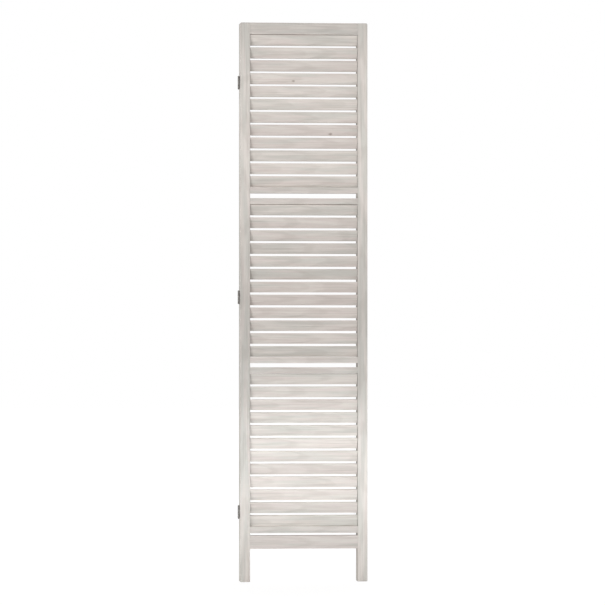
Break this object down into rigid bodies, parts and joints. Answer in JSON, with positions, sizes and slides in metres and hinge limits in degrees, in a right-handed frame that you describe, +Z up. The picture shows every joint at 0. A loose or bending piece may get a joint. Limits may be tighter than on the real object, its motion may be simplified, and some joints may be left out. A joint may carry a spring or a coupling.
{
  "type": "room divider",
  "caption": "Folding wooden room divider, folded flat: ladder-framed panels hinged along one edge, with horizontal slats that turn on end pins.",
  "frame": {"origin": "on the floor, under the middle of the folded divider's bounding box", "axes": "+Z up; +X along the panels, away from the hinges; -Y is the front of the front panel"},
  "size_m": [0.3949, 0.046, 1.7],
  "materials": {
    "frame_wood": "limed light wood, matt, with fine grain",
    "slat_wood": "limed light wood, matt, with fine grain, each board its own tone",
    "hinge_metal": "dark satin nickel"
  },
  "bodies": {
    "front_panel": {"front_hinge_stile": "frame_wood", "front_free_stile": "frame_wood", "front_bottom_rail": "frame_wood", "front_lower_section_sill": "frame_wood", "front_lower_section_head": "frame_wood", "front_middle_section_sill": "frame_wood", "front_middle_section_head": "frame_wood", "front_upper_section_sill": "frame_wood", "front_top_rail": "frame_wood", "top_hinge_front_leaf": "hinge_metal", "middle_hinge_front_leaf": "hinge_metal", "low_hinge_front_leaf": "hinge_metal"},
    "slat_01": {"front_slat_01": "slat_wood"},
    "slat_02": {"front_slat_02": "slat_wood"},
    "slat_03": {"front_slat_03": "slat_wood"},
    "slat_04": {"front_slat_04": "slat_wood"},
    "slat_05": {"front_slat_05": "slat_wood"},
    "slat_06": {"front_slat_06": "slat_wood"},
    "slat_07": {"front_slat_07": "slat_wood"},
    "slat_08": {"front_slat_08": "slat_wood"},
    "slat_09": {"front_slat_09": "slat_wood"},
    "slat_10": {"front_slat_10": "slat_wood"},
    "slat_11": {"front_slat_11": "slat_wood"},
    "slat_12": {"front_slat_12": "slat_wood"},
    "slat_13": {"front_slat_13": "slat_wood"},
    "slat_14": {"front_slat_14": "slat_wood"},
    "slat_15": {"front_slat_15": "slat_wood"},
    "slat_16": {"front_slat_16": "slat_wood"},
    "slat_17": {"front_slat_17": "slat_wood"},
    "slat_18": {"front_slat_18": "slat_wood"},
    "slat_19": {"front_slat_19": "slat_wood"},
    "slat_20": {"front_slat_20": "slat_wood"},
    "slat_21": {"front_slat_21": "slat_wood"},
    "slat_22": {"front_slat_22": "slat_wood"},
    "slat_23": {"front_slat_23": "slat_wood"},
    "slat_24": {"front_slat_24": "slat_wood"},
    "slat_25": {"front_slat_25": "slat_wood"},
    "slat_26": {"front_slat_26": "slat_wood"},
    "slat_27": {"front_slat_27": "slat_wood"},
    "slat_28": {"front_slat_28": "slat_wood"},
    "slat_29": {"front_slat_29": "slat_wood"},
    "slat_30": {"front_slat_30": "slat_wood"},
    "slat_31": {"front_slat_31": "slat_wood"},
    "slat_32": {"front_slat_32": "slat_wood"},
    "slat_33": {"front_slat_33": "slat_wood"},
    "slat_34": {"front_slat_34": "slat_wood"},
    "slat_35": {"front_slat_35": "slat_wood"},
    "slat_36": {"front_slat_36": "slat_wood"},
    "rear_panel": {"rear_hinge_stile": "frame_wood", "rear_free_stile_with_slats": "frame_wood", "rear_bottom_rail": "frame_wood", "rear_lower_section_sill": "frame_wood", "rear_lower_section_head": "frame_wood", "rear_middle_section_sill": "frame_wood", "rear_middle_section_head": "frame_wood", "rear_upper_section_sill": "frame_wood", "rear_top_rail": "frame_wood", "top_hinge_rear_leaf": "hinge_metal", "middle_hinge_rear_leaf": "hinge_metal", "low_hinge_rear_leaf": "hinge_metal"}
  },
  "joints": [
    {"name": "rear_panel_fold", "type": "hinge", "parent": "front_panel", "child": "rear_panel", "pos_m": [-0.19448, 0, 0.85], "axis": [0, 0, 1], "range_deg": [0, 180]},
    {"name": "slat_01_turn", "type": "hinge", "parent": "front_panel", "child": "slat_01", "pos_m": [0.00302, -0.01297, 1.64777], "axis": [1, 0, 0], "range_deg": [-110, 70]},
    {"name": "slat_02_turn", "type": "hinge", "parent": "front_panel", "child": "slat_02", "pos_m": [0.00302, -0.01297, 1.60863], "axis": [1, 0, 0], "range_deg": [-110, 70]},
    {"name": "slat_03_turn", "type": "hinge", "parent": "front_panel", "child": "slat_03", "pos_m": [0.00302, -0.01297, 1.56949], "axis": [1, 0, 0], "range_deg": [-110, 70]},
    {"name": "slat_04_turn", "type": "hinge", "parent": "front_panel", "child": "slat_04", "pos_m": [0.00302, -0.01297, 1.53034], "axis": [1, 0, 0], "range_deg": [-110, 70]},
    {"name": "slat_05_turn", "type": "hinge", "parent": "front_panel", "child": "slat_05", "pos_m": [0.00302, -0.01297, 1.4912], "axis": [1, 0, 0], "range_deg": [-110, 70]},
    {"name": "slat_06_turn", "type": "hinge", "parent": "front_panel", "child": "slat_06", "pos_m": [0.00302, -0.01297, 1.45206], "axis": [1, 0, 0], "range_deg": [-110, 70]},
    {"name": "slat_07_turn", "type": "hinge", "parent": "front_panel", "child": "slat_07", "pos_m": [0.00302, -0.01297, 1.41291], "axis": [1, 0, 0], "range_deg": [-110, 70]},
    {"name": "slat_08_turn", "type": "hinge", "parent": "front_panel", "child": "slat_08", "pos_m": [0.00302, -0.01297, 1.37377], "axis": [1, 0, 0], "range_deg": [-110, 70]},
    {"name": "slat_09_turn", "type": "hinge", "parent": "front_panel", "child": "slat_09", "pos_m": [0.00302, -0.01297, 1.33462], "axis": [1, 0, 0], "range_deg": [-110, 70]},
    {"name": "slat_10_turn", "type": "hinge", "parent": "front_panel", "child": "slat_10", "pos_m": [0.00302, -0.01297, 1.29548], "axis": [1, 0, 0], "range_deg": [-110, 70]},
    {"name": "slat_11_turn", "type": "hinge", "parent": "front_panel", "child": "slat_11", "pos_m": [0.00302, -0.01297, 1.25634], "axis": [1, 0, 0], "range_deg": [-110, 70]},
    {"name": "slat_12_turn", "type": "hinge", "parent": "front_panel", "child": "slat_12", "pos_m": [0.00302, -0.01297, 1.21719], "axis": [1, 0, 0], "range_deg": [-110, 70]},
    {"name": "slat_13_turn", "type": "hinge", "parent": "front_panel", "child": "slat_13", "pos_m": [0.00302, -0.01297, 1.13084], "axis": [1, 0, 0], "range_deg": [-110, 70]},
    {"name": "slat_14_turn", "type": "hinge", "parent": "front_panel", "child": "slat_14", "pos_m": [0.00302, -0.01297, 1.0917], "axis": [1, 0, 0], "range_deg": [-110, 70]},
    {"name": "slat_15_turn", "type": "hinge", "parent": "front_panel", "child": "slat_15", "pos_m": [0.00302, -0.01297, 1.05255], "axis": [1, 0, 0], "range_deg": [-110, 70]},
    {"name": "slat_16_turn", "type": "hinge", "parent": "front_panel", "child": "slat_16", "pos_m": [0.00302, -0.01297, 1.01341], "axis": [1, 0, 0], "range_deg": [-110, 70]},
    {"name": "slat_17_turn", "type": "hinge", "parent": "front_panel", "child": "slat_17", "pos_m": [0.00302, -0.01297, 0.97427], "axis": [1, 0, 0], "range_deg": [-110, 70]},
    {"name": "slat_18_turn", "type": "hinge", "parent": "front_panel", "child": "slat_18", "pos_m": [0.00302, -0.01297, 0.93512], "axis": [1, 0, 0], "range_deg": [-110, 70]},
    {"name": "slat_19_turn", "type": "hinge", "parent": "front_panel", "child": "slat_19", "pos_m": [0.00302, -0.01297, 0.89598], "axis": [1, 0, 0], "range_deg": [-110, 70]},
    {"name": "slat_20_turn", "type": "hinge", "parent": "front_panel", "child": "slat_20", "pos_m": [0.00302, -0.01297, 0.85683], "axis": [1, 0, 0], "range_deg": [-110, 70]},
    {"name": "slat_21_turn", "type": "hinge", "parent": "front_panel", "child": "slat_21", "pos_m": [0.00302, -0.01297, 0.81769], "axis": [1, 0, 0], "range_deg": [-110, 70]},
    {"name": "slat_22_turn", "type": "hinge", "parent": "front_panel", "child": "slat_22", "pos_m": [0.00302, -0.01297, 0.77855], "axis": [1, 0, 0], "range_deg": [-110, 70]},
    {"name": "slat_23_turn", "type": "hinge", "parent": "front_panel", "child": "slat_23", "pos_m": [0.00302, -0.01297, 0.7394], "axis": [1, 0, 0], "range_deg": [-110, 70]},
    {"name": "slat_24_turn", "type": "hinge", "parent": "front_panel", "child": "slat_24", "pos_m": [0.00302, -0.01297, 0.70026], "axis": [1, 0, 0], "range_deg": [-110, 70]},
    {"name": "slat_25_turn", "type": "hinge", "parent": "front_panel", "child": "slat_25", "pos_m": [0.00302, -0.01297, 0.61621], "axis": [1, 0, 0], "range_deg": [-110, 70]},
    {"name": "slat_26_turn", "type": "hinge", "parent": "front_panel", "child": "slat_26", "pos_m": [0.00302, -0.01297, 0.57706], "axis": [1, 0, 0], "range_deg": [-110, 70]},
    {"name": "slat_27_turn", "type": "hinge", "parent": "front_panel", "child": "slat_27", "pos_m": [0.00302, -0.01297, 0.53792], "axis": [1, 0, 0], "range_deg": [-110, 70]},
    {"name": "slat_28_turn", "type": "hinge", "parent": "front_panel", "child": "slat_28", "pos_m": [0.00302, -0.01297, 0.49878], "axis": [1, 0, 0], "range_deg": [-110, 70]},
    {"name": "slat_29_turn", "type": "hinge", "parent": "front_panel", "child": "slat_29", "pos_m": [0.00302, -0.01297, 0.45963], "axis": [1, 0, 0], "range_deg": [-110, 70]},
    {"name": "slat_30_turn", "type": "hinge", "parent": "front_panel", "child": "slat_30", "pos_m": [0.00302, -0.01297, 0.42049], "axis": [1, 0, 0], "range_deg": [-110, 70]},
    {"name": "slat_31_turn", "type": "hinge", "parent": "front_panel", "child": "slat_31", "pos_m": [0.00302, -0.01297, 0.38134], "axis": [1, 0, 0], "range_deg": [-110, 70]},
    {"name": "slat_32_turn", "type": "hinge", "parent": "front_panel", "child": "slat_32", "pos_m": [0.00302, -0.01297, 0.3422], "axis": [1, 0, 0], "range_deg": [-110, 70]},
    {"name": "slat_33_turn", "type": "hinge", "parent": "front_panel", "child": "slat_33", "pos_m": [0.00302, -0.01297, 0.30306], "axis": [1, 0, 0], "range_deg": [-110, 70]},
    {"name": "slat_34_turn", "type": "hinge", "parent": "front_panel", "child": "slat_34", "pos_m": [0.00302, -0.01297, 0.26391], "axis": [1, 0, 0], "range_deg": [-110, 70]},
    {"name": "slat_35_turn", "type": "hinge", "parent": "front_panel", "child": "slat_35", "pos_m": [0.00302, -0.01297, 0.22477], "axis": [1, 0, 0], "range_deg": [-110, 70]},
    {"name": "slat_36_turn", "type": "hinge", "parent": "front_panel", "child": "slat_36", "pos_m": [0.00302, -0.01297, 0.18563], "axis": [1, 0, 0], "range_deg": [-110, 70]}
  ]
}
